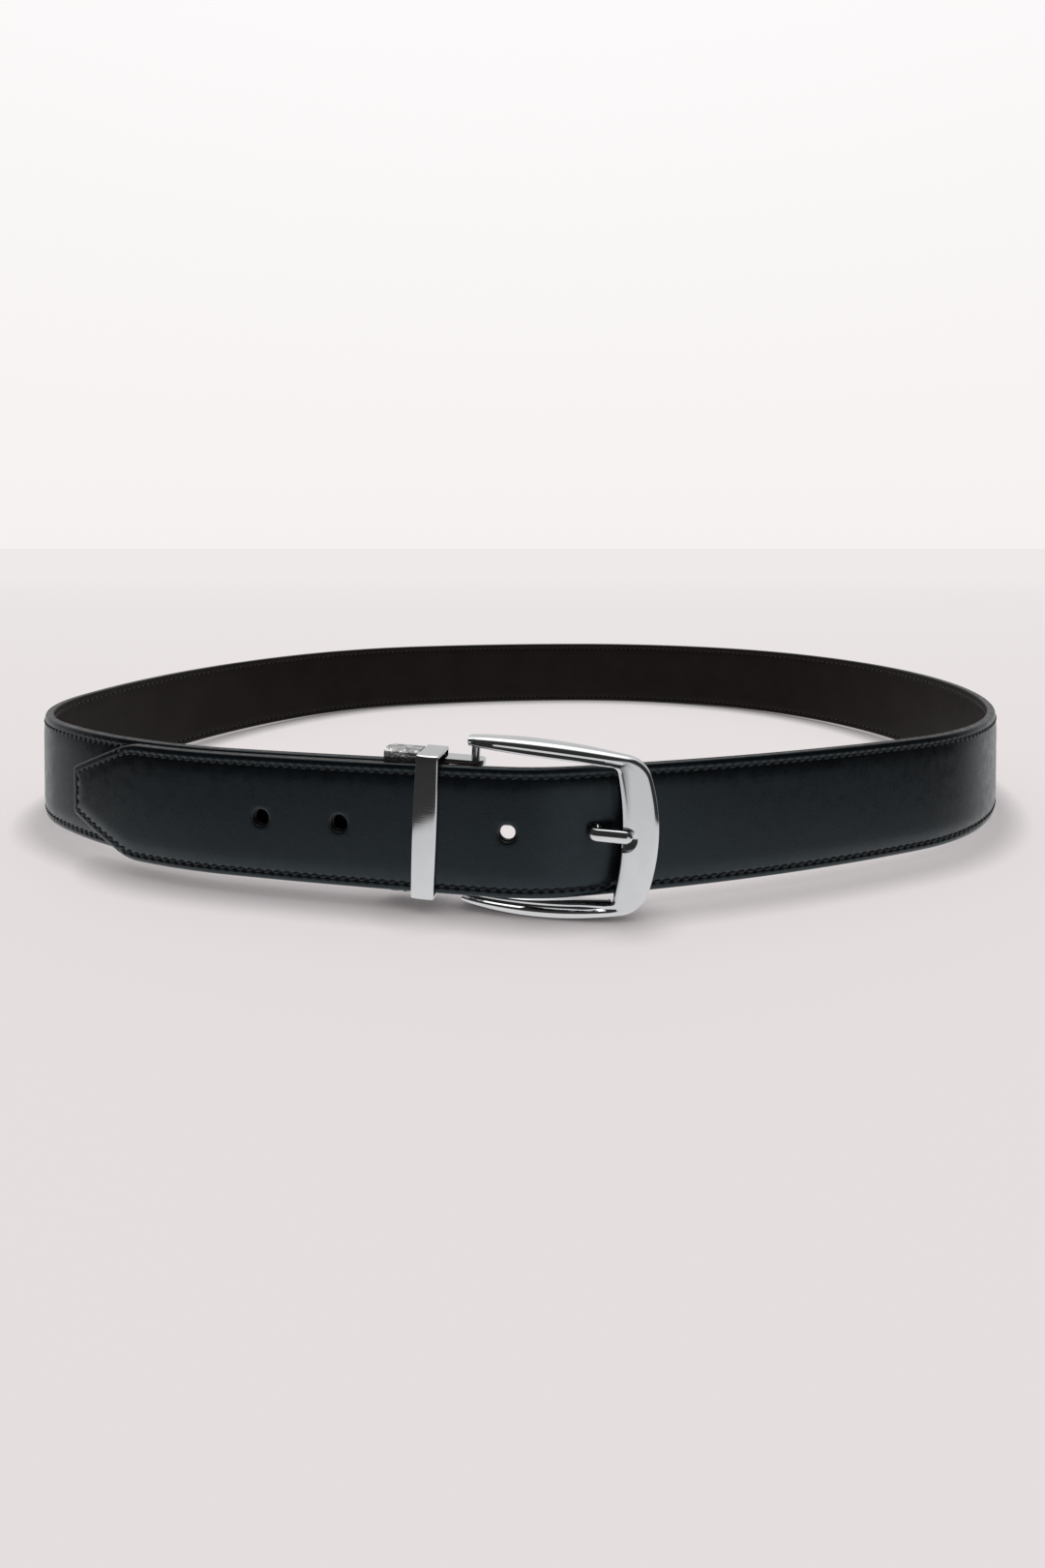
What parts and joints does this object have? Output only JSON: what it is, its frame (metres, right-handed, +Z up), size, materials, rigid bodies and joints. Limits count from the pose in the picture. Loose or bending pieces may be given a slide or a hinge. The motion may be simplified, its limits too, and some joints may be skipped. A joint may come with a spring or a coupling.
{
  "type": "leather belt",
  "caption": "Reversible leather dress belt, buckled into a loop: stitched strap with punched holes, clamped to a swivelling D-frame buckle with prong and metal keeper.",
  "frame": {"origin": "middle of the bounding box, on the surface that the belt stands on", "axes": "+X along the front of the belt from the tip end towards the buckle's bar, +Y from the buckle through the waist loop to its back, +Z up across the strap's width"},
  "size_m": [0.4023, 0.2972, 0.0517],
  "materials": {
    "black_leather": "smooth semi-gloss black leather",
    "leather_filler": "bonded leather filler with painted edge",
    "brown_leather": "smooth very dark brown leather",
    "black_thread": "waxed polyester thread",
    "brown_thread": "waxed polyester thread",
    "cast_nickel": "nickel plate over a rough casting",
    "polished_chrome": "polished bright plate",
    "bright_steel": "turned steel"
  },
  "bodies": {
    "strap": {"strap_face": "black_leather", "strap_core": "leather_filler", "strap_lining": "brown_leather", "strap_seam_thread": "black_thread", "strap_bobbin_thread": "brown_thread", "clamp_case": "cast_nickel", "clamp_plate": "bright_steel", "clamp_screws": "bright_steel"},
    "tail": {"tail_face": "black_leather", "tail_core": "leather_filler", "tail_lining": "brown_leather", "tail_seam_thread": "black_thread", "tail_bobbin_thread": "brown_thread"},
    "swivel": {"heel_yoke": "cast_nickel", "swivel_stud": "bright_steel", "swivel_washer": "bright_steel", "swivel_spring": "bright_steel"},
    "frame": {"buckle_frame": "polished_chrome", "heel_pin": "bright_steel"},
    "prong": {"prong": "polished_chrome"},
    "keeper": {"keeper": "polished_chrome"}
  },
  "joints": [
    {"name": "swivel_twist", "type": "hinge", "parent": "strap", "child": "swivel", "pos_m": [-0.03105, -0.13494, 0.02676], "axis": [0.9873, -0.1543, -0.0371], "range_deg": [-1, 1]},
    {"name": "frame_swing", "type": "hinge", "parent": "swivel", "child": "frame", "pos_m": [-0.02079, -0.13654, 0.02638], "axis": [-0.0397, -0.0134, -0.9991], "range_deg": [0, 2]},
    {"name": "prong_swing", "type": "hinge", "parent": "frame", "child": "prong", "pos_m": [-0.02079, -0.13654, 0.02638], "axis": [-0.0397, -0.0134, -0.9991], "range_deg": [0, 1.5]},
    {"name": "keeper_slide", "type": "slide", "parent": "strap", "child": "keeper", "axis": [0.9873, -0.1543, -0.0371], "range_m": [0, 0.006]},
    {"name": "tail_flex", "type": "hinge", "parent": "strap", "child": "tail", "pos_m": [-0.08014, -0.13357, 0.02462], "axis": [0, 0.0196, 0.9998], "range_deg": [0, 35], "stiffness_Nm_per_rad": 0.05}
  ]
}
